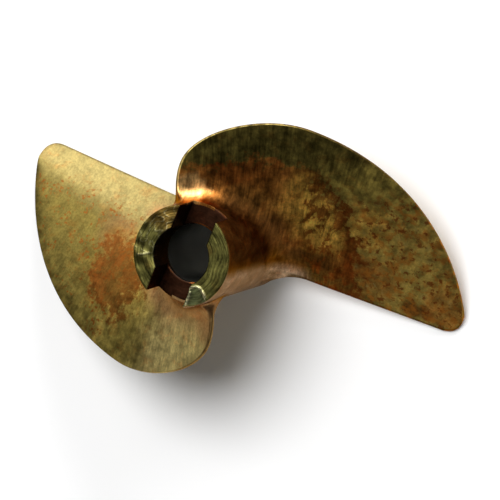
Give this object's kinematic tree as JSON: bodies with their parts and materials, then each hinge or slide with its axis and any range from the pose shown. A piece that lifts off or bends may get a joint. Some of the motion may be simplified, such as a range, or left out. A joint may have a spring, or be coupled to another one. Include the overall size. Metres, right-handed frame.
{
  "type": "boat propeller",
  "caption": "Small two-bladed brass boat propeller with swept, twisted blades on a bored hub that has a drive slot across its forward end.",
  "frame": {"origin": "on the shaft axis, level with the lowest points of the blades", "axes": "+Z along the shaft axis to the slotted forward face of the hub; the drive slot runs along Y; the blade tips lie about +X and -X"},
  "size_m": [0.0398, 0.0248, 0.0155],
  "materials": {
    "hub_brass": "turned and milled brass, tarnished green-gold",
    "blade_brass": "brushed brass with heat tint and small corrosion spots",
    "braze": "smooth, copper-red from heat",
    "liner_metal": "dark, oily, reamed"
  },
  "bodies": {
    "root": {"hub": "hub_brass", "bore_liner": "liner_metal", "blade_1": "blade_brass", "blade_2": "blade_brass", "braze_fillet_1": "braze", "braze_fillet_2": "braze"}
  },
  "joints": []
}
